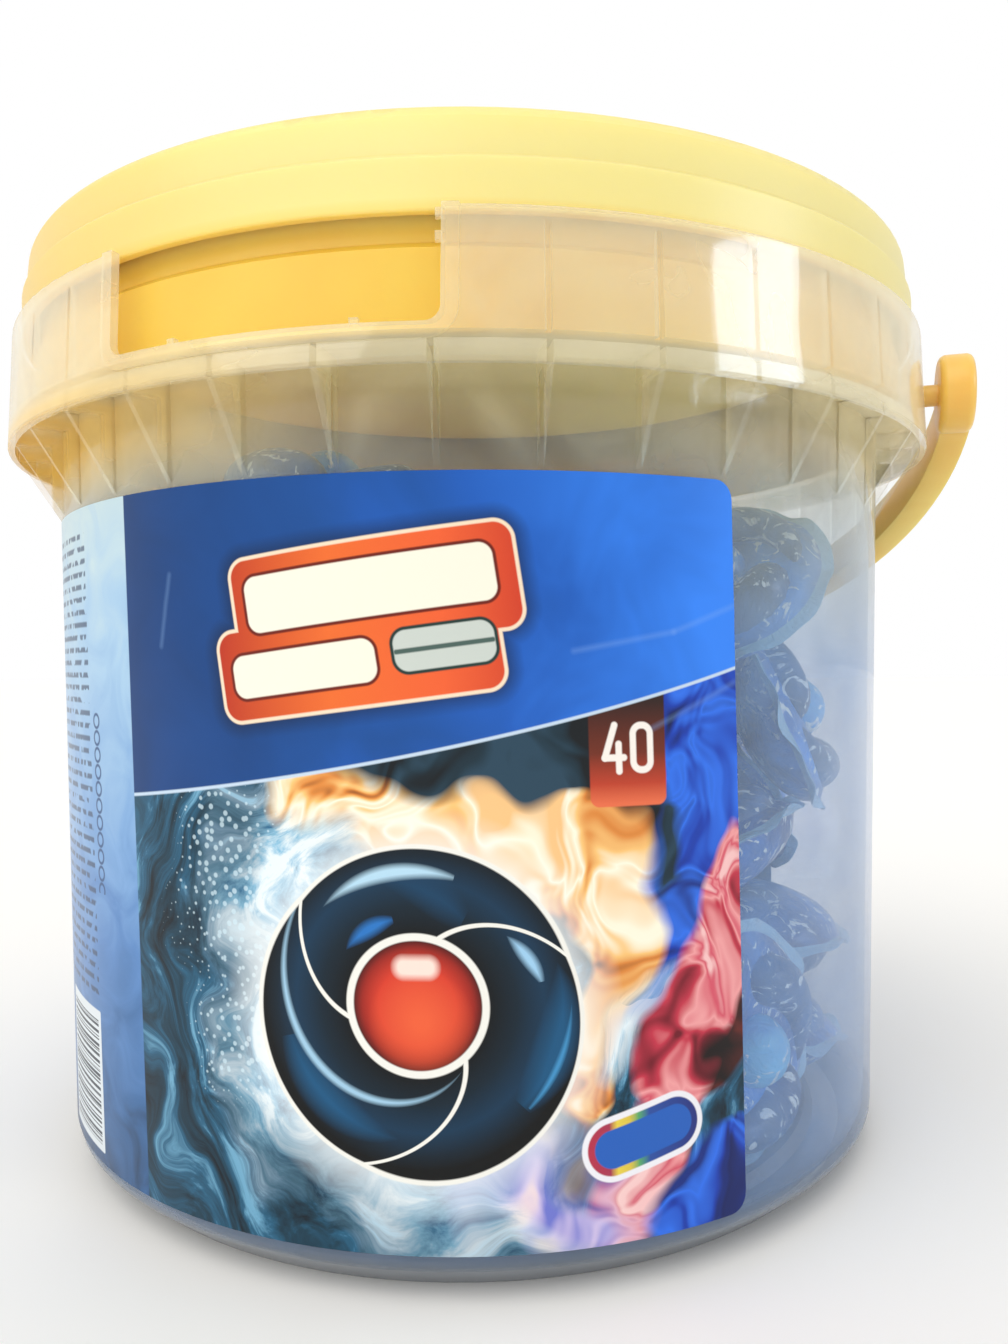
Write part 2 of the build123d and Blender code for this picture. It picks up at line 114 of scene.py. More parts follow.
def settle_place(obj):
    """Put an object's place into its mesh."""
    only(obj)
    bpy.ops.object.transform_apply(location=True, rotation=True, scale=True)


def face_outwards(obj):
    """Turn every face of a closed mesh to the outside."""
    only(obj)
    bpy.ops.object.mode_set(mode="EDIT")
    bpy.ops.mesh.select_all(action="SELECT")
    bpy.ops.mesh.normals_make_consistent(inside=False)
    bpy.ops.object.mode_set(mode="OBJECT")


def smooth(obj, degrees):
    """Shade smooth, with edges sharper than this angle kept crisp."""
    only(obj)
    bpy.ops.object.shade_smooth_by_angle(angle=math.radians(degrees))


def merged_copy(name, new_name):
    """Copy of a CAD node's mesh with its loose triangles joined."""
    source = NODES[name]
    copy = bpy.data.objects.new(new_name, source.data.copy())
    bpy.context.scene.collection.objects.link(copy)
    only(copy)
    bpy.ops.object.mode_set(mode="EDIT")
    bpy.ops.mesh.select_all(action="SELECT")
    bpy.ops.mesh.remove_doubles(threshold=0.01 * MM)
    bpy.ops.object.mode_set(mode="OBJECT")
    return copy


# ---------------------------------------------------------------- plastics
MILK_FACING, MILK_EDGE_ON = 0.05, 0.5           # share of light that the wall scatters, and what adds
MILK_FOOT, MILK_COLLAR, MILK_GLOW = 0.5, 0.13, 0.5
FIN_CLEARER = 0.25                              # thin ribs and gussets have only this share of it
GLOSS_FACING, GLOSS_EDGE_ON = 0.045, 0.5        # share of the surface that mirrors
FOOT_SOLID_Z, FOOT_TOP_Z = 4 * MM, 9.5 * MM     # the thick foot fades into the thin wall above it
COLLAR_LOW_Z = 134.4 * MM
COLLAR_MILK_Z = (133 * MM, 137 * MM)            # the collar's and the skirt's walls lie over each other
WALL_OUTSIDE = (87.4 * MM, 87.9 * MM)           # radius past the body's wall: collar and fins
GLOW_LOW_Z = (118 * MM, 130 * MM)               # painted light: the lid's yellow light, painted on the milk, fades in from below, ends at the ledge, and is painted stronger on the left
GLOW_HIGH_Z = (139 * MM, 136 * MM)              # ends at the ledge
GLOW_X = (20 * MM, -60 * MM)                    # and is stronger on the left
GLOW_MOST = 0.85
TUB_TOP_Z = 169 * MM
# painted light and shade up the wall: dark grey painted shade at the foot, painted blue light beside the
# pods, painted cream light under the lid
WALL_PAINTED_LIGHT_AND_SHADE = [(0.0, "#565E68"), (0.03, "#64707E"), (0.06, "#6FA2DE"), (0.55, "#7CB0E8"), (0.72, "#C4D6D4"),
              (0.77, "#FFF3C4"), (1.0, "#FFF8DA")]
# colour of the painted yellow light from the lid
LID_LIGHT = "#F7CB50"


def natural_polypropylene():
    """Unpigmented injection-moulded polypropylene: a thin milky wall, clear enough to see the pods, with a
    clear gloss, faint flow marks, and more milk where the wall is seen edge on or is thick, at the foot. The
    milk's colour is painted light and shade: dark grey painted shade at the foot, painted blue light beside
    the pods, painted cream light inside the lid's skirt, and painted yellow light from the lid, stronger on
    the left."""
    material, tree, shader = new_material("natural_polypropylene", Roughness=0.3, IOR=1.49)
    point = add(tree, "TexCoord").outputs["Object"]
    place = add(tree, "SeparateXYZ", point)
    height = place.outputs["Z"]
    flat = add(tree, "VectorMath", point, (1.0, 1.0, 0.0), operation="MULTIPLY")
    reach = add(tree, "VectorMath", flat, operation="LENGTH").outputs["Value"]

    facing = add(tree, "LayerWeight", 0.35).outputs["Facing"]
    milk = add(tree, "MapRange", facing, 0.0, 1.0, MILK_FACING, MILK_EDGE_ON)
    flow = add(tree, "TexNoise", inputs={
        "Vector": point, "Scale": 1 / (18 * MM), "Detail": 2.0, "Distortion": 0.8})
    cloud = add(tree, "MapRange", flow, 0.3, 0.7, -0.05, 0.08)
    milk = add(tree, "Math", milk, cloud, operation="ADD")
    foot = add(tree, "MapRange", height, FOOT_TOP_Z, FOOT_SOLID_Z, 0.0, MILK_FOOT)
    collar = add(tree, "MapRange", height, *COLLAR_MILK_Z, 0.0, MILK_COLLAR)
    milk = add(tree, "Math", milk, add(tree, "Math", foot, collar, operation="MAXIMUM"), operation="ADD")
    # painted light: yellow light through the lid, painted into the milk's share and colour, stronger on the
    # left
    above = add(tree, "MapRange", height, *GLOW_LOW_Z, 0.0, GLOW_MOST)
    side = add(tree, "MapRange", place.outputs["X"], *GLOW_X, 0.0, 1.0)
    under = add(tree, "MapRange", height, *GLOW_HIGH_Z, 0.0, 1.0)
    glow = add(tree, "Math", above, side, operation="MULTIPLY")
    glow = add(tree, "Math", glow, under, operation="MULTIPLY")
    milk = add(tree, "Math", glow, MILK_GLOW, milk, operation="MULTIPLY_ADD")
    outside = add(tree, "MapRange", reach, *WALL_OUTSIDE, 0.0, 1.0)
    below = add(tree, "MapRange", height, COLLAR_LOW_Z + 0.8 * MM, COLLAR_LOW_Z - 0.2 * MM, 0.0, 1.0)
    fin = add(tree, "Math", outside, below, operation="MULTIPLY")
    clearer = add(tree, "MapRange", fin, 0.0, 1.0, 1.0, FIN_CLEARER)
    milk = add(tree, "Math", milk, clearer, operation="MULTIPLY")
    tree.links.new(milk.outputs[0], shader.inputs["Alpha"])

    # the milk's colour up the wall is painted light and shade, with the lid's painted yellow light laid over
    # it
    level = add(tree, "MapRange", height, 0.0, TUB_TOP_Z, 0.0, 1.0)
    tint = add(tree, "ValToRGB", level, stops=WALL_PAINTED_LIGHT_AND_SHADE)
    tint = add(tree, "Mix", glow, tint, LID_LIGHT, data_type="RGBA")
    tree.links.new(tint.outputs[2], shader.inputs["Base Color"])
    wave = add(tree, "TexNoise", inputs={"Vector": point, "Scale": 1 / (12 * MM), "Detail": 0.0})
    bump = add(tree, "Bump", inputs={"Height": wave, "Strength": 0.12, "Distance": 0.8 * MM})
    tree.links.new(bump.outputs["Normal"], shader.inputs["Normal"])

    gloss = add(tree, "BsdfAnisotropic", "#FFFFFF", 0.05, inputs={"Normal": bump.outputs["Normal"]})
    slant = add(tree, "Math", add(tree, "LayerWeight", 0.5).outputs["Facing"], 4.0, operation="POWER")
    skin = add(tree, "MapRange", slant, 0.0, 1.0, GLOSS_FACING, GLOSS_EDGE_ON)
    surface = add(tree, "MixShader", skin, shader, gloss)
    output = next(n for n in tree.nodes if n.type == "OUTPUT_MATERIAL")
    tree.links.new(surface.outputs[0], output.inputs["Surface"])
    return material


LID_RIM_Z = (154.0 * MM, 157.5 * MM)     # the lid's rim above this is painted paler as painted light; below it, inside the collar, the lid keeps its deeper yellow
LID_SHADED_SIDE_X = (-90 * MM, 20 * MM)        # painted shade: the rim is painted a little deeper towards the left, its less lit side
LID_SHADED_SIDE_COLOUR = "#F6C25C"


def yellow_polypropylene(name, light, deep, roughness, rim=None):
    """Pigmented polypropylene, injection moulded: satin, with soft wide highlights, and daylight glows
    through it; a rim colour is painted light on the rim, with painted shade on its left side."""
    material, tree, shader = new_material(
        name, Roughness=roughness, IOR=1.49, Subsurface_Weight=0.5, Subsurface_Scale=4 * MM,
        Subsurface_Radius=(1.0, 0.9, 0.6), Coat_Weight=0.1, Coat_Roughness=0.25)
    point = add(tree, "TexCoord").outputs["Object"]
    cloud = add(tree, "TexNoise", inputs={
        "Vector": point, "Scale": 1 / (30 * MM), "Detail": 3.0, "Distortion": 0.4})
    colour = add(tree, "ValToRGB", cloud, stops=[(0.3, deep), (0.7, light)]).outputs["Color"]
    # painted light and shade on the lid's rim: paler where lit, deeper on the left
    if rim:
        place = add(tree, "SeparateXYZ", point)
        lit = add(tree, "MapRange", place.outputs["Z"], *LID_RIM_Z, 0.0, 1.0)
        drift = add(tree, "MapRange", place.outputs["X"], *LID_SHADED_SIDE_X, 0.0, 1.0)
        painted_rim_colour = add(tree, "Mix", drift, LID_SHADED_SIDE_COLOUR, rim, data_type="RGBA").outputs[2]
        colour = add(tree, "Mix", lit, colour, painted_rim_colour, data_type="RGBA").outputs[2]
    tree.links.new(colour, shader.inputs["Base Color"])
    # the mould's fine grain is a few hundredths of a millimetre, and is drawn coarser so that it shows
    grain = add(tree, "TexNoise", inputs={"Vector": point, "Scale": 1 / (0.7 * MM), "Detail": 3.0})
    bump = add(tree, "Bump", inputs={"Height": grain, "Strength": 0.1, "Distance": 0.2 * MM})
    tree.links.new(bump.outputs["Normal"], shader.inputs["Normal"])
    return material


# ---------------------------------------------------------------- pods
POD_R = 22.6 * MM          # half the width of the film
FLANGE = 3.0 * MM          # sealed edge round the chambers
EDGE = 1.2 * FLANGE        # the outer part of the film that the crinkle bends
FILM_EDGE = 0.6 * MM
# each step out from the flange: how far up or down it goes, and the share of its width that is left
UNDERSIDE = ((2.4, 0.97), (3.0, 0.86), (2.6, 0.62), (1.2, 0.5))
TOP = ((1.6, 0.95), (1.4, 0.8), (0.6, 0.5))
PETALS = 3
DOME_R, DOME_RISE = 6.4 * MM, 3.0 * MM
PETAL_CURL = math.radians(62)
PETAL_REACH, PETAL_DRIFT = 13.2 * MM, 2.2 * MM      # how far out its middle lies, and more so its head
PETAL_HALF_WIDTH, PETAL_HALF_HEIGHT, PETAL_LEVEL = 4.6 * MM, 5.25 * MM, 1.8 * MM
PETAL_TAPER = 0.45
SPIN = math.radians(137.5)      # turn from one pod to the next, so that no two lie alike


def pod_liquid(name, deep, light, size):
    """Detergent liquid under water-soluble film: deep colour, and crumpled film over it, with small white
    and pale blue glints painted into the colour as painted highlights."""
    material, tree, shader = new_material(
        name, Roughness=0.3, IOR=1.4, Coat_Weight=0.35, Coat_Roughness=0.05)
    point = add(tree, "TexCoord").outputs["Object"]
    cloud = add(tree, "TexNoise", inputs={
        "Vector": point, "Scale": 1 / size, "Detail": 4.0, "Distortion": 1.2})
    liquid = add(tree, "ValToRGB", cloud, stops=[(0.32, deep), (0.68, light)])
    crease = add(tree, "TexNoise", inputs={
        "Vector": point, "Scale": 1 / (6 * MM), "Detail": 3.0, "Roughness": 0.6, "Distortion": 2.5})
    # painted highlights: white glints painted into the liquid's colour where the film's creases would catch
    # light
    painted_glint = add(tree, "MapRange", crease, 0.58, 0.64, 0.0, 0.9)
    colour = add(tree, "Mix", painted_glint, liquid, "#E4F4FB", data_type="RGBA")
    tree.links.new(colour.outputs[2], shader.inputs["Base Color"])
    bump = add(tree, "Bump", inputs={"Height": crease, "Strength": 0.8, "Distance": 1 * MM})
    tree.links.new(bump.outputs["Normal"], shader.inputs["Normal"])
    return material


def pod_film():
    """Heat-sealed edge of the film: thin, clear, crinkled, with white glints."""
    material, tree, shader = new_material(
        "sealed_pva_film", Base_Color="#8CC0E8", Roughness=0.15, IOR=1.5, Coat_Weight=0.5)
    point = add(tree, "TexCoord").outputs["Object"]
    crinkle = add(tree, "TexNoise", inputs={
        "Vector": point, "Scale": 1 / (2.2 * MM), "Detail": 3.0, "Distortion": 1.5})
    bump = add(tree, "Bump", inputs={"Height": crinkle, "Strength": 0.9, "Distance": 0.8 * MM})
    tree.links.new(bump.outputs["Normal"], shader.inputs["Normal"])
    return material


def select_end_face(base, side):
    """Select the many-sided face that closes the pod's top (1) or underside (-1)."""
    bpy.ops.object.mode_set(mode="OBJECT")
    for polygon in base.data.polygons:
        polygon.select = len(polygon.vertices) > 4 and polygon.normal.z * side > 0.9
    bpy.ops.object.mode_set(mode="EDIT")


def pod_base():
    """Film flange with the big chamber below it, drawn from a flat disc."""
    bpy.ops.mesh.primitive_cylinder_add(vertices=40, radius=POD_R, depth=FILM_EDGE, end_fill_type="NGON")
    base = bpy.context.object
    bpy.ops.object.mode_set(mode="EDIT")
    bpy.ops.mesh.select_mode(type="FACE")
    for side, steps in ((-1, UNDERSIDE), (1, TOP)):
        select_end_face(base, side)
        bpy.ops.mesh.inset(thickness=FLANGE)
        for rise, share in steps:
            bpy.ops.mesh.extrude_region_move(TRANSFORM_OT_translate={"value": (0, 0, side * rise * MM)})
            bpy.ops.transform.resize(value=(share, share, 1.0))
    bpy.ops.object.mode_set(mode="OBJECT")
    return base


def pod_petal(turn):
    """One curled chamber on the pod's top: a ball drawn out along a widening arc."""
    bpy.ops.mesh.primitive_uv_sphere_add(segments=24, ring_count=14, radius=1.0)
    petal = bpy.context.object
    for vertex in petal.data.vertices:
        along, across, up = vertex.co
        taper = 1.0 - PETAL_TAPER * along
        angle = turn - PETAL_CURL * along
        reach = PETAL_REACH + PETAL_DRIFT * along + PETAL_HALF_WIDTH * across * taper
        height = PETAL_LEVEL + PETAL_HALF_HEIGHT * up * taper
        vertex.co = (reach * math.cos(angle), reach * math.sin(angle), height)
    face_outwards(petal)
    return petal


def pod_dome():
    """Small round chamber in the middle of the petals."""
    bpy.ops.mesh.primitive_uv_sphere_add(
        segments=24, ring_count=14, radius=DOME_R, location=(0, 0, DOME_RISE))
    dome = bpy.context.object
    settle_place(dome)
    return dome


def crinkle_flange(pod):
    """Uneven, slightly waved sealed edge."""
    for vertex in pod.data.vertices:
        reach = math.hypot(vertex.co.x, vertex.co.y)
        if reach > POD_R - EDGE:
            turn = math.atan2(vertex.co.y, vertex.co.x)
            share = (reach - POD_R + EDGE) / EDGE
            pull = 1.0 - 0.035 * share * (0.5 + 0.5 * math.sin(5 * turn + 0.7) * math.cos(3 * turn))
            vertex.co.x *= pull
            vertex.co.y *= pull
            vertex.co.z += share * MM * (0.9 * math.sin(7 * turn) + 0.5 * math.sin(13 * turn + 1.0))


def pod_master(materials):
    """One pod, lying level at the origin with its petals up: base, petals, dome and edge take the materials
    in turn."""
    base = pod_base()
    rounding = base.modifiers.new("round", "SUBSURF")
    rounding.levels = 1
    rounding.render_levels = 1
    apply_modifiers(base)
    crinkle_flange(base)
    petals = [pod_petal(i * math.tau / PETALS) for i in range(PETALS)]
    parts = [(base, 0), *((petal, 1) for petal in petals), (pod_dome(), 2)]
    for part, slot in parts:
        part.data.materials.clear()
        for material in materials:
            part.data.materials.append(material)
        for polygon in part.data.polygons:
            polygon.material_index = slot
    for polygon in base.data.polygons:
        if math.hypot(polygon.center.x, polygon.center.y) > POD_R - FLANGE:
            polygon.material_index = 3
    deselect()
    for part, _ in parts:
        part.select_set(True)
    bpy.context.view_layer.objects.active = base
    bpy.ops.object.join()
    smooth(base, 60)
    return base


def pod_pose(name):
    """Centre and short axis of a pod's CAD solid."""
    points = np.array([v.co for v in NODES[name].data.vertices], float)
    low, high = points.min(0), points.max(0)
    centre = (low + high) / 2
    spread = (points - centre).T @ (points - centre)
    _, vectors = np.linalg.eigh(spread)
    return Vector(centre), Vector(vectors[:, 0])


def make_pods():
    """A detailed pod in the place of every plain CAD pod, most with their petals to the outside or up."""
    materials = (
        pod_liquid("blue_detergent_liquid", "#04327A", "#1E90FF", 26 * MM),
        pod_liquid("navy_detergent_liquid", "#021C3C", "#0E62B0", 18 * MM),
        pod_liquid("pale_detergent_liquid", "#1480E8", "#66C8FF", 22 * MM),
        pod_film(),
    )
    master = pod_master(materials)
    for number, name in enumerate(POD_NAMES):
        centre, normal = pod_pose(name)
        outward = Vector((centre.x, centre.y, 30 * MM))
        if normal.dot(outward) < 0:
            normal.negate()
        if number % 4 == 3:      # every fourth lies the other way round
            normal.negate()
        turn = normal.to_track_quat("Z", "Y").to_matrix().to_4x4()
        spin = Matrix.Rotation(number * SPIN, 4, "Z")
        pod = bpy.data.objects.new(name.replace("pod", "pod_skin"), master.data.copy())
        bpy.context.scene.collection.objects.link(pod)
        pod.data.transform(Matrix.Translation(centre) @ turn @ spin)
        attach(pod, "tub")
        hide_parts(name)
    bpy.data.objects.remove(master)


# ---------------------------------------------------------------- label
LABEL_LOW, LABEL_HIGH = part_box("label")
LABEL_HEIGHT = LABEL_HIGH.z - LABEL_LOW.z
FRONT = math.radians(18.5)          # the artwork's middle line, counted from the front (-Y) towards +X
RIGHT_TOP = math.radians(45.9)      # the label's right edge leans outwards towards the bottom
RIGHT_BOTTOM = math.radians(48.4)
LEFT_END = math.radians(-227.6)
FILM = 0.1 * MM
CREASE_WIDTH = 1.2         # mm
CREASE_RISE = 0.12 * MM
LIFTED = ((36, 100, 0.22, 16), (30, 77.5, 0.16, 12), (-47, 96, -1.6, 10))    # middle x and z, slope, length
CORNER_R = 3.0 * MM
COLUMNS, ROWS = 170, 46


def label_radii():
    """Radius of the label's CAD film at its lower and upper edge."""
    points = np.array([v.co for v in NODES["label"].data.vertices], float)
    reach = np.hypot(points[:, 0], points[:, 1])
    low = reach[points[:, 2] < LABEL_LOW.z + 1 * MM].max()
    high = reach[points[:, 2] > LABEL_HIGH.z - 1 * MM].max()
    return low, high


LABEL_R_LOW, LABEL_R_HIGH = label_radii()
MID_R = (LABEL_R_LOW + LABEL_R_HIGH) / 2
LABEL_WIDTH = (RIGHT_BOTTOM - LEFT_END) * MID_R


def crease_depth(x, z):
    """Rise of the film where it lifted when it was stuck on."""
    depth = 0.0
    for middle_x, middle_z, slope, length in LIFTED:
        along = x - middle_x
        off = z - middle_z - slope * along
        depth += math.exp(-(off / CREASE_WIDTH) ** 2 - (along / length) ** 2)
    return CREASE_RISE * depth


def make_label():
    """Printed film: a flat sheet with rounded corners, cut into strips, wrapped round the wall."""
    bpy.ops.mesh.primitive_plane_add(size=1.0)
    label = bpy.context.object
    label.name = "label_skin"
    label.scale = (LABEL_WIDTH, LABEL_HEIGHT, 1.0)
    settle_place(label)
    bpy.ops.object.mode_set(mode="EDIT")
    bpy.ops.mesh.select_all(action="SELECT")
    bpy.ops.mesh.bevel(offset=CORNER_R, segments=6, affect="VERTICES")
    for i in range(1, COLUMNS):
        bpy.ops.mesh.select_all(action="SELECT")
        bpy.ops.mesh.bisect(plane_co=(LABEL_WIDTH * (i / COLUMNS - 0.5), 0, 0), plane_no=(1, 0, 0))
    for i in range(1, ROWS):
        bpy.ops.mesh.select_all(action="SELECT")
        bpy.ops.mesh.bisect(plane_co=(0, LABEL_HEIGHT * (i / ROWS - 0.5), 0), plane_no=(0, 1, 0))
    bpy.ops.object.mode_set(mode="OBJECT")
    layer = label.data.uv_layers.new(name="print")
    for loop in label.data.loops:
        x, y, _ = label.data.vertices[loop.vertex_index].co
        layer.data[loop.index].uv = (x / LABEL_WIDTH + 0.5, y / LABEL_HEIGHT + 0.5)
    for vertex in label.data.vertices:
        share = vertex.co.x / LABEL_WIDTH + 0.5
        height = vertex.co.y / LABEL_HEIGHT + 0.5
        right = RIGHT_BOTTOM + height * (RIGHT_TOP - RIGHT_BOTTOM)
        angle = LEFT_END + share * (right - LEFT_END)
        reach = LABEL_R_LOW + height * (LABEL_R_HIGH - LABEL_R_LOW)
        z = LABEL_LOW.z + height * LABEL_HEIGHT
        reach += crease_depth((angle - FRONT) * MID_R / MM, z / MM) - FILM
        vertex.co = (reach * math.sin(angle), -reach * math.cos(angle), z)
    wall = label.modifiers.new("film", "SOLIDIFY")
    wall.thickness = FILM
    wall.offset = 1.0
    apply_modifiers(label)
    smooth(label, 40)
    use(label, printed_film())
    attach(label, "tub")
    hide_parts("label")


# ---- the print: every field works in millimetres, x from the artwork's middle line, z above the base
BALL = (-7.8, 44.3)              # middle of the printed pod
BALL_R = 9.5
PETAL_IN, PETAL_OUT = 10.6, 23.5
PETAL_ANGLE = math.radians(120)
SEAM_START = math.radians(66)    # where the first seam between two petals leaves the ball, at SEAM_START_R
SEAM_START_R = 11.5
SEAM_BEND = math.radians(50) / 12.0      # and how far it turns for each millimetre out
PANEL_EDGE = -58.8               # the header and the picture end here, the side panel goes on
TEXT_EDGE = -74.6                # right edge of the side panel's text
BAR_CODE = (-84.5, 21.8)
TITLE_TURN = 7.0                 # degrees
TITLE_CORNER = 2.6
LINE_HEIGHT, LINE_RISE, LINE_BEND = 82.1, 0.2044, 0.00085    # the header's lower line: level, slope and bend
INK_WHITE = "#F7F1EA"

SPRAY_PAINTS = {
    "sea": [(0.3, "#06141E"), (0.45, "#123A4E"), (0.58, "#235C7C"), (0.7, "#6CA6C6")],
    "foam": [(0.3, "#2A6E98"), (0.46, "#8CC2E0"), (0.6, "#E6F3F9")],
}
SMOKE_PAINTS = {
    "warm": [(0.27, "#7A3F1A"), (0.36, "#DE8A3E"), (0.46, "#F8C67A"), (0.57, "#FFF8E2"), (0.7, "#F6C688")],
    "rose": [(0.3, "#6E1222"), (0.4, "#C4344A"), (0.5, "#F0A2A4"), (0.6, "#D65468"), (0.7, "#F6C4C4")],
    "royal": [(0.3, "#081650"), (0.42, "#143EB0"), (0.55, "#2F72EC"), (0.7, "#102C80")],
    "dusk": [(0.35, "#0A1218"), (0.5, "#16303E"), (0.65, "#264458")],
    "lilac": [(0.3, "#6F78D0"), (0.5, "#CCBFE8"), (0.65, "#F8E2DE")],
    "umber": [(0.3, "#120606"), (0.5, "#421412"), (0.7, "#74261E")],
}
# broad strokes over the sea, the later ones on top: paint, two ends, half width, softness of the edge
STROKES = (
    ("dusk", (-4, 84), (44, 84), 22, 5.0),
    ("foam", (-26, 62), (-27, 34), 14, 8.0),
    ("foam", (-12, 18), (8, 14), 6, 7.0),
    ("sea", (-60, 80), (-44, 66), 9, 4.0),
    ("sea", (-50, 62), (-43, 18), 7, 4.0),
    ("warm", (-26, 79), (4, 66), 7.0, 2.0),
    ("foam", (-27, 72), (-17, 68), 2.5, 3.0),
    ("warm", (4, 68), (18, 64), 7.5, 1.0),
    ("warm", (18, 64), (23, 52), 8.5, 1.0),
    ("warm", (22, 52), (16, 32), 6.5, 1.0),
    ("royal", (40, 84), (40, 62), 13, 1.5),
    ("dusk", (28, 72), (32, 54), 1.8, 1.0),
    ("royal", (32, 58), (29, 44), 3.0, 1.0),
    ("foam", (27, 42), (23, 38), 3.0, 3.0),
    ("rose", (48, 62), (37, 46), 6.0, 1.0),
    ("rose", (37, 46), (34, 28), 6.5, 1.0),
    ("umber", (45, 44), (42, 30), 4.0, 1.0),
    ("rose", (36, 28), (22, 12), 5.5, 1.2),
    ("royal", (30, 8), (48, 15), 4.5, 1.0),
    ("lilac", (5, 20), (18, 12), 6.0, 4.0),
)
# highlights on the petals: from and to (radius, degrees), width in the middle, softness, colour
GLEAMS = (
    ((21.0, -45.0), (21.5, 8.0), 2.2, 1.6, "#14547F"),
    ((20.5, 195.0), (20.0, 250.0), 1.8, 1.6, "#14547F"),
    ((14.5, 60.0), (18.5, 100.0), 1.8, 1.6, "#0E3E60"),
    ((19.6, 72.0), (19.6, 128.0), 0.9, 0.5, "#B4DAF0"),
    ((12.9, 104.0), (13.0, 138.0), 0.9, 0.6, "#2674C2"),
    ((18.6, 10.0), (17.0, 34.0), 0.8, 0.5, "#9CCBEC"),
    ((22.0, -44.0), (22.6, -6.0), 0.4, 0.3, "#3F8FC4"),
    ((22.8, 143.0), (12.6, 285.0), 0.55, 0.35, "#9FC9E4"),
)
# painted highlights: pale lines along creases in the header, where the film was bent
PAINTED_CREASE_HIGHLIGHTS = (
    ((17.0, 95.5), (33.0, 98.3)),
    ((33.0, 98.3), (46.0, 103.0)),
    ((29.0, 84.0), (45.0, 91.0)),
    ((-50.0, 97.0), (-47.5, 108.0)),
)


def print_plane(tree):
    """The print's point, x and z, from the film's own map."""
    flat = add(tree, "UVMap", uv_map="print")
    start = (LEFT_END - FRONT) * MID_R / MM
    place = add(tree, "Mapping", inputs={
        "Vector": flat,
        "Location": (start, LABEL_LOW.z / MM, 0.0),
        "Scale": (LABEL_WIDTH / MM, LABEL_HEIGHT / MM, 1.0),
    })
    split = add(tree, "SeparateXYZ", place)
    return place, split.outputs["X"], split.outputs["Y"]


def ink(tree, below, colour, distance, level=0.0, softness=0.12, strength=1.0):
    """Lay a colour over the print wherever a distance in millimetres is below a level."""
    cover = add(tree, "MapRange", distance, level + softness, level - softness, 0.0, strength)
    return add(tree, "Mix", cover, below, colour, data_type="RGBA")


def plate_distance(tree, point, centre, half_width, half_height, corner, turn=0.0):
    """Distance from the core of a plate, which its rounded corners stand one corner radius out from."""
    core = (half_width - corner, half_height - corner, 0.0)
    off = add(tree, "VectorMath", point, (*centre, 0.0), operation="SUBTRACT")
    if turn:
        off = add(tree, "VectorRotate", off, inputs={"Angle": math.radians(-turn)}, rotation_type="Z_AXIS")
    off = add(tree, "VectorMath", off, operation="ABSOLUTE")
    off = add(tree, "VectorMath", off, core, operation="SUBTRACT")
    off = add(tree, "VectorMath", off, (0.0, 0.0, 0.0), operation="MAXIMUM")
    return add(tree, "VectorMath", off, operation="LENGTH")


def stroke_distance(tree, point, start, end):
    """Distance from the line between two points."""
    run = (end[0] - start[0], end[1] - start[1], 0.0)
    size = run[0] ** 2 + run[1] ** 2
    off = add(tree, "VectorMath", point, (*start, 0.0), operation="SUBTRACT")
    share = add(tree, "VectorMath", off, (run[0] / size, run[1] / size, 0.0), operation="DOT_PRODUCT")
    share = add(tree, "Math", share, 0.0, operation="ADD", use_clamp=True)
    along = add(tree, "VectorMath", run, share, operation="SCALE")
    return add(tree, "VectorMath", off, along, operation="DISTANCE")


def water_and_smoke(tree, point):
    """Painted background: dark sea and pale spray on the left, warm smoke over the emblem, royal blue and
    rose smoke on the right, all drawn as broad strokes whose edges a slow noise bends. The spray is drawn
    out round the emblem, and small drops lie over it."""
    drift = add(tree, "TexNoise", noise_dimensions="2D", inputs={
        "Vector": point, "Scale": 1 / 19.0, "Detail": 1.5})
    bend = add(tree, "VectorMath", drift.outputs["Color"], (0.5, 0.5, 0.5), operation="SUBTRACT")
    bent = add(tree, "VectorMath", bend, (22.0, 22.0, 0.0), point, operation="MULTIPLY_ADD")
    curl = add(tree, "TexNoise", noise_dimensions="2D", inputs={
        "Vector": bent, "Scale": 1 / 13.0, "Detail": 2.0, "Distortion": 0.9})
    off = add(tree, "VectorMath", (*BALL, 0.0), bent, operation="SUBTRACT")
    split = add(tree, "SeparateXYZ", off)
    turn = add(tree, "Math", split.outputs["Y"], split.outputs["X"], operation="ARCTAN2")
    reach = add(tree, "VectorMath", off, operation="LENGTH").outputs["Value"]
    whirl = add(tree, "CombineXYZ", reach, add(tree, "Math", turn, 11.0, operation="MULTIPLY"))
    spray = add(tree, "TexNoise", noise_dimensions="2D", inputs={
        "Vector": whirl, "Scale": 1 / 5.0, "Detail": 6.0, "Roughness": 0.62, "Distortion": 0.25})
    paint = {name: add(tree, "ValToRGB", spray, stops=stops) for name, stops in SPRAY_PAINTS.items()}
    for name, stops in SMOKE_PAINTS.items():
        paint[name] = add(tree, "ValToRGB", curl, stops=stops)
    art = paint["sea"]
    for name, start, end, half_width, softness in STROKES:
        art = ink(tree, art, paint[name], stroke_distance(tree, bent, start, end), half_width, softness)
    drop = add(tree, "TexVoronoi", voronoi_dimensions="2D", inputs={"Vector": point, "Scale": 1 / 1.7})
    near = add(tree, "MapRange", stroke_distance(tree, bent, (-38, 70), (-36, 34)), 13.0, 0.0, -0.05, 0.26)
    cover = add(tree, "Math", near, drop.outputs["Distance"], operation="SUBTRACT")
    off = add(tree, "Math", cover, -1.0, operation="MULTIPLY")
    return ink(tree, art, "#CFE8F4", off, 0.0, 0.05, 0.6)


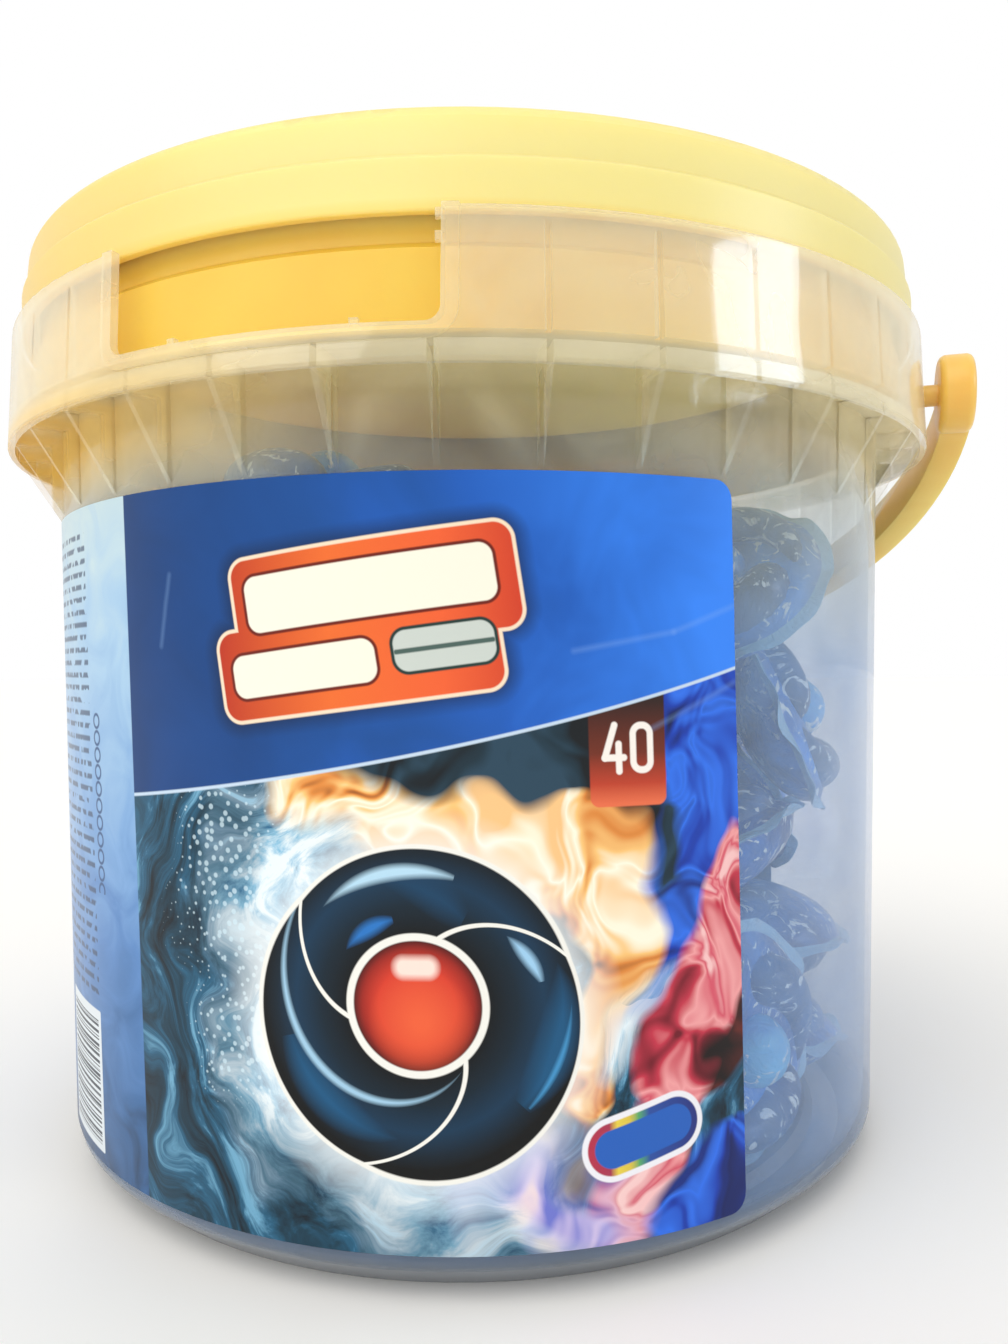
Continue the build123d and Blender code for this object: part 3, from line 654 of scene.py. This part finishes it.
def petal_gleam(tree, below, colour, reach, turn, start, end, width, softness):
    """Highlight that runs along a petal, from (radius, degrees) to (radius, degrees), thin at both ends."""
    share = add(tree, "Math", turn, -math.radians(start[1]), operation="ADD")
    share = add(tree, "Math", share, math.tau, 0.0, operation="WRAP")
    share = add(tree, "Math", share, 1 / math.radians(end[1] - start[1]), operation="MULTIPLY")
    line = add(tree, "Math", share, end[0] - start[0], start[0], operation="MULTIPLY_ADD")
    off = add(tree, "Math", add(tree, "Math", reach, line, operation="SUBTRACT"), operation="ABSOLUTE")
    rest = add(tree, "Math", 1.0, share, operation="SUBTRACT")
    taper = add(tree, "Math", share, rest, operation="MULTIPLY")
    off = add(tree, "Math", taper, -4.0 * width, off, operation="MULTIPLY_ADD")
    return ink(tree, below, colour, off, 0.0, softness)


def emblem(tree, below, point, x, z):
    """Pod seen from above: three glossy navy petals curled round a red ball, all edged in white."""
    reach = add(tree, "VectorMath", point, (*BALL, 0.0), operation="DISTANCE")
    dx = add(tree, "Math", x, BALL[0], operation="SUBTRACT")
    dz = add(tree, "Math", z, BALL[1], operation="SUBTRACT")
    turn = add(tree, "Math", dz, dx, operation="ARCTAN2")
    rim = add(tree, "VectorMath", point, (BALL[0], BALL[1] - 1.5, 0.0), operation="DISTANCE")
    colour = ink(tree, below, "#F4F9FB", rim, 26.0, 5.0, 0.92)
    # each seam between two petals leaves the ball and bends clockwise on its way out
    sweep = add(tree, "Math", reach, SEAM_BEND, turn, operation="MULTIPLY_ADD")
    part = add(tree, "Math", sweep, -(SEAM_START + SEAM_BEND * SEAM_START_R), operation="ADD")
    part = add(tree, "Math", part, PETAL_ANGLE, 0.0, operation="WRAP")
    bulge = add(tree, "Math", add(tree, "Math", part, 1.5, operation="MULTIPLY"), operation="SINE")
    rim = add(tree, "Math", bulge, -0.9, rim, operation="MULTIPLY_ADD")
    colour = ink(tree, colour, "#F0F0EA", rim, PETAL_OUT + 0.7)
    other = add(tree, "Math", PETAL_ANGLE, part, operation="SUBTRACT")
    gap = add(tree, "Math", add(tree, "Math", part, other, operation="MINIMUM"), reach, operation="MULTIPLY")
    shape = add(tree, "Math", PETAL_IN, reach, operation="SUBTRACT")
    outer = add(tree, "Math", rim, PETAL_OUT, operation="SUBTRACT")
    shape = add(tree, "Math", shape, outer, operation="MAXIMUM")
    seam = add(tree, "Math", 0.45, gap, operation="SUBTRACT")
    shape = add(tree, "Math", shape, seam, operation="MAXIMUM")
    across = add(tree, "MapRange", reach, PETAL_IN, PETAL_OUT + 0.5, 0.0, 1.0)
    petal = add(tree, "ValToRGB", across, stops=[
        (0.0, "#02060A"), (0.3, "#07202F"), (0.6, "#0C3450"), (0.85, "#071C2A"), (1.0, "#010406")])
    for start, end, width, softness, tint in GLEAMS:
        petal = petal_gleam(tree, petal, tint, reach, turn, start, end, width, softness)
    colour = ink(tree, colour, petal, shape)
    body = add(tree, "ValToRGB", add(tree, "Math", reach, BALL_R, operation="DIVIDE"), stops=[
        (0.0, "#E04A32"), (0.6, "#D63C28"), (0.86, "#9C241A"), (1.0, "#480C0C")])
    glow = add(tree, "VectorMath", point, (BALL[0] + 0.5, BALL[1] - 2.5, 0.0), operation="DISTANCE")
    body = ink(tree, body, "#EC6038", glow, 4.5, 3.5)
    shine = plate_distance(tree, point, (BALL[0], BALL[1] + 5.6), 3.2, 1.5, 1.4)
    body = ink(tree, body, "#FBE1D6", shine, 1.4, 0.6)
    return ink(tree, colour, body, reach, BALL_R)


def title_plate(tree, below, point, x):
    """Plain orange-red plate with a white edge and cream bars, where a name would stand."""
    upper = plate_distance(tree, point, (-12.6, 104.2), 21.8, 7.6, TITLE_CORNER, TITLE_TURN)
    lower = plate_distance(tree, point, (-15.4, 94.4), 21.8, 6.6, TITLE_CORNER, TITLE_TURN)
    plate = add(tree, "Math", upper, lower, operation="MINIMUM")
    colour = ink(tree, below, "#0A2448", plate, TITLE_CORNER + 1.6, 1.4, 0.8)
    colour = ink(tree, colour, "#F4DFC4", plate, TITLE_CORNER + 0.55)
    field = add(tree, "ValToRGB", add(tree, "MapRange", x, -38.0, 10.0, 0.0, 1.0), stops=[
        (0.0, "#B8321C"), (0.4, "#EC6E2E"), (0.75, "#EE6232"), (1.0, "#CE3E24")])
    colour = ink(tree, colour, field, plate, TITLE_CORNER)
    small_bar = (-1.8, 96.4)
    for place, half_width, half_height, edge, face in (
            ((-13.2, 104.9), 19.2, 4.2, "#6E1E10", "#FAF3E2"),
            ((-23.4, 93.2), 11.6, 3.2, "#6E1E10", "#FAF3E2"),
            (small_bar, 7.4, 3.0, "#1E3834", "#C9D2CC")):
        bar = plate_distance(tree, point, place, half_width, half_height, 2.0, TITLE_TURN)
        colour = ink(tree, colour, edge, bar, 2.5)
        colour = ink(tree, colour, face, bar, 2.0)
    stripe = plate_distance(tree, point, small_bar, 7.4, 0.35, 0.3, TITLE_TURN)
    return ink(tree, colour, "#4A625C", stripe, 0.3)


def count_tab(tree, below, point, z, under_line):
    """Brown to red tab that hangs from the header, with the plain number 40."""
    tab = plate_distance(tree, point, (24.9, 84.0), 6.1, 11.4, 1.4)
    tab = add(tree, "Math", tab, 1.4, operation="SUBTRACT")
    tab = add(tree, "Math", tab, under_line, operation="MAXIMUM")
    field = add(tree, "ValToRGB", add(tree, "MapRange", z, 73.0, 88.0, 0.0, 1.0), stops=[
        (0.0, "#E8704A"), (0.2, "#BC4028"), (0.5, "#702C1A"), (1.0, "#2E1A16")])
    colour = ink(tree, below, field, tab)
    for start, end in (
            ((22.8, 84.6), (21.2, 79.8)),
            ((21.2, 79.8), (24.2, 79.8)),
            ((23.4, 81.8), (23.4, 77.8))):
        colour = ink(tree, colour, INK_WHITE, stroke_distance(tree, point, start, end), 0.5)
    nought = plate_distance(tree, point, (27.1, 81.2), 1.4, 3.3, 1.3)
    nought = add(tree, "Math", nought, 1.3, operation="SUBTRACT")
    nought = add(tree, "Math", nought, operation="ABSOLUTE")
    return ink(tree, colour, INK_WHITE, nought, 0.5)


def pill_badge(tree, below, point, x):
    """Small blue pill with a white edge and a ring of red, yellow and green."""
    ring = stroke_distance(tree, point, (20.6, 21.8), (31.0, 24.2))
    colour = ink(tree, below, "#EFEFF6", ring, 4.9)
    hue = add(tree, "ValToRGB", add(tree, "MapRange", x, 16.5, 34.5, 0.0, 1.0), stops=[
        (0.0, "#B8304A"), (0.2, "#A83652"), (0.27, "#E7D04A"), (0.38, "#DCC24A"), (0.46, "#58A868"),
        (0.56, "#2C4FA0"), (1.0, "#27337E")])
    colour = ink(tree, colour, hue, ring, 4.0)
    return ink(tree, colour, "#2560BC", ring, 2.9)


def side_panel(tree, point, x, z):
    """Light blue panel: pale sky above, ripples below, blocks of fine bars, small rings and a bar code."""
    ripple = add(tree, "TexNoise", noise_dimensions="2D", inputs={
        "Vector": point, "Scale": 1 / 12.0, "Detail": 4.0, "Distortion": 1.0})
    level = add(tree, "Math", ripple, 40.0, z, operation="MULTIPLY_ADD")
    colour = add(tree, "ValToRGB", add(tree, "MapRange", level, 24.0, 142.0, 0.0, 1.0), stops=[
        (0.0, "#1E4066"), (0.15, "#34649A"), (0.35, "#5484C0"), (0.55, "#7AA6D8"), (0.8, "#A4C8E6"),
        (1.0, "#C4DCE4")])
    # fine bars in columns, each a row of words
    row = add(tree, "Math", z, 1.1, operation="PINGPONG")
    run = add(tree, "VectorMath", point, (0.8, 0.45, 1.0), operation="MULTIPLY")
    words = add(tree, "TexNoise", noise_dimensions="2D", inputs={
        "Vector": run, "Scale": 1 / 1.4, "Detail": 0.0})
    words = add(tree, "MapRange", words, 0.4, 0.46, 0.0, 0.85)
    column = add(tree, "Math", x, -TEXT_EDGE, operation="ADD")
    column = add(tree, "Math", column, 27.0, operation="PINGPONG")
    across = add(tree, "Math", column, 11.5, 12.5, operation="COMPARE")
    tall = add(tree, "Math", z, 77.0, 41.0, operation="COMPARE")
    block = add(tree, "Math", across, tall, operation="MULTIPLY")
    left = add(tree, "Math", x, TEXT_EDGE, operation="LESS_THAN")
    block = add(tree, "Math", block, left, operation="MULTIPLY")
    printed = add(tree, "Math", block, words, operation="MULTIPLY")
    colour = ink(tree, colour, "#1E3C60", row, 0.45, 0.15, printed)
    # a line of small rings up the panel's edge
    step = add(tree, "Math", z, 57.0, operation="SUBTRACT")
    step = add(tree, "Math", step, 2.9, operation="PINGPONG")
    place = add(tree, "CombineXYZ", add(tree, "Math", x, 71.6, operation="ADD"), step)
    ring = add(tree, "VectorMath", place, (0.0, 1.45, 0.0), operation="DISTANCE")
    ring = add(tree, "Math", ring, 1.15, operation="SUBTRACT")
    ring = add(tree, "Math", ring, operation="ABSOLUTE")
    tall = add(tree, "Math", z, 70.5, 15.5, operation="COMPARE")
    colour = ink(tree, colour, "#2C5282", ring, 0.25, 0.12, tall)
    # bar code on its pale card
    card = plate_distance(tree, point, BAR_CODE, 10.1, 12.3, 0.4)
    colour = ink(tree, colour, "#DCE4EA", card, 0.4)
    strip = add(tree, "TexNoise", noise_dimensions="1D", inputs={"W": z, "Scale": 1.7, "Detail": 1.0})
    stripes = add(tree, "MapRange", strip, 0.5, 0.53, 0.0, 1.0)
    inner = plate_distance(tree, point, BAR_CODE, 8.9, 11.1, 0.2)
    return ink(tree, colour, "#1C2A38", inner, 0.2, 0.12, stripes)


def printed_film():
    """Gloss-laminated printed film: flat inks under a clear smooth skin, with soft waves from sticking."""
    material, tree, shader = new_material(
        "printed_film", Roughness=0.3, IOR=1.5, Specular_IOR_Level=0.2, Coat_Weight=0.15,
        Coat_Roughness=0.12)
    point, x, z = print_plane(tree)
    art = water_and_smoke(tree, point)
    art = emblem(tree, art, point, x, z)
    art = pill_badge(tree, art, point, x)
    # header above a pale line that rises to the right
    slope = add(tree, "Math", x, LINE_BEND, LINE_RISE, operation="MULTIPLY_ADD")
    line = add(tree, "Math", slope, x, LINE_HEIGHT, operation="MULTIPLY_ADD")
    above = add(tree, "Math", line, z, operation="SUBTRACT")
    under = add(tree, "Math", z, line, operation="SUBTRACT")
    art = count_tab(tree, art, point, z, under)
    tone = add(tree, "TexNoise", noise_dimensions="2D", inputs={
        "Vector": point, "Scale": 1 / 22.0, "Detail": 3.0, "Distortion": 0.5})
    tone = add(tree, "Math", tone, 44.0, x, operation="MULTIPLY_ADD")
    tone = add(tree, "MapRange", tone, -36.0, 66.0, 0.0, 1.0)
    header = add(tree, "ValToRGB", tone, stops=[
        (0.0, "#0A3A74"), (0.4, "#124C96"), (0.65, "#1A5CBC"), (1.0, "#3486FA")])
    art = ink(tree, art, header, above)
    art = ink(tree, art, "#C6DAEE", add(tree, "Math", above, operation="ABSOLUTE"), 0.25)
    # painted highlight along each crease in the header
    for start, end in PAINTED_CREASE_HIGHLIGHTS:
        art = ink(tree, art, "#8FBCF4", stroke_distance(tree, point, start, end), 0.0, 0.7, 0.35)
    art = title_plate(tree, art, point, x)
    art = ink(tree, art, side_panel(tree, point, x, z), x, PANEL_EDGE)
    tree.links.new(art.outputs[2], shader.inputs["Base Color"])
    wave = add(tree, "TexNoise", inputs={"Vector": point, "Scale": 1 / 9.0, "Detail": 1.0})
    bump = add(tree, "Bump", inputs={"Height": wave, "Strength": 0.1, "Distance": 0.4 * MM})
    tree.links.new(bump.outputs["Normal"], shader.inputs["Normal"])
    return material


# ---------------------------------------------------------------- handle
def make_handle(material):
    """Moulded bail: the CAD form with its sharp edges rounded."""
    handle = merged_copy("handle", "handle_skin")
    rounding = handle.modifiers.new("round", "BEVEL")
    rounding.width = 0.45 * MM
    rounding.segments = 2
    rounding.limit_method = "ANGLE"
    rounding.angle_limit = math.radians(40)
    apply_modifiers(handle)
    smooth(handle, 40)
    use(handle, material)
    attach(handle, "handle")
    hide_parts("handle")


# ---------------------------------------------------------------- camera, floor, light
def make_camera():
    camera = bpy.data.objects.new("camera", bpy.data.cameras.new("camera"))
    bpy.context.scene.collection.objects.link(camera)
    camera.data.sensor_width = 36.0
    camera.data.lens = 27.43
    camera.data.clip_start = 0.01
    camera.location = (73.7 * MM, -220.3 * MM, 93.6 * MM)
    heading, dip, roll = math.radians(16.88), math.radians(0.41), math.radians(-0.48)
    camera.rotation_euler = (Matrix.Rotation(heading, 3, "Z") @ Matrix.Rotation(math.pi / 2 - dip, 3, "X")
                             @ Matrix.Rotation(roll, 3, "Z")).to_euler()
    bpy.context.scene.camera = camera


def make_floor():
    """Wide pale floor, matt."""
    bpy.ops.mesh.primitive_plane_add(size=12.0)
    floor = bpy.context.object
    floor.name = "floor"
    use(floor, new_material("pale_floor", Base_Color="#F8F8F7", Roughness=0.7)[0])


def reflector(name, place, target, width, height, power, colour):
    """Bright panel that shows in gloss and adds no light to dull surfaces."""
    light = bpy.data.lights.new(name, "AREA")
    light.shape = "RECTANGLE"
    light.size = width
    light.size_y = height
    light.energy = power
    light.color = linear(colour)[:3]
    lamp = bpy.data.objects.new(name, light)
    bpy.context.scene.collection.objects.link(lamp)
    lamp.location = place
    lamp.visible_diffuse = False
    aim = Vector(target) - Vector(place)
    lamp.rotation_euler = aim.to_track_quat("-Z", "Y").to_euler()


def make_light():
    """White studio: an even white surround, a wide soft sun from the upper left, a window at the right."""
    world = bpy.data.worlds.new("studio")
    bpy.context.scene.world = world
    world.use_nodes = True
    tree = world.node_tree
    tree.nodes.clear()
    # the surround lights the part a little less than it shows itself
    seen = add(tree, "LightPath").outputs["Is Camera Ray"]
    strength = add(tree, "MapRange", seen, 0.0, 1.0, 0.85, 1.0)
    surround = add(tree, "Background", "#FFFFFF", strength)
    add(tree, "OutputWorld", surround)
    sun = bpy.data.lights.new("sun", "SUN")
    sun.angle = math.radians(60)
    sun.energy = 1.2
    sun.color = linear("#FFF8EC")[:3]
    lamp = bpy.data.objects.new("sun", sun)
    bpy.context.scene.collection.objects.link(lamp)
    lamp.rotation_euler = Vector((0.35, 0.75, -0.9)).to_track_quat("-Z", "Y").to_euler()
    reflector("window", place=(1.05, -0.10, 0.49), target=(0.065, -0.068, 0.15), width=0.42, height=0.26,
              power=2.1, colour="#D6E8FF")
    bpy.context.scene.view_settings.view_transform = "Standard"


# ---------------------------------------------------------------- build
use(NODES["tub"], natural_polypropylene())
use(NODES["lid"], yellow_polypropylene(
    "yellow_lid_polypropylene", light="#FFCF50", deep="#FBC244", roughness=0.36, rim="#FFE893"))
make_handle(yellow_polypropylene(
    "orange_yellow_polypropylene", light="#FBD878", deep="#F0BF58", roughness=0.33))
make_label()
make_pods()
make_camera()
make_floor()
make_light()
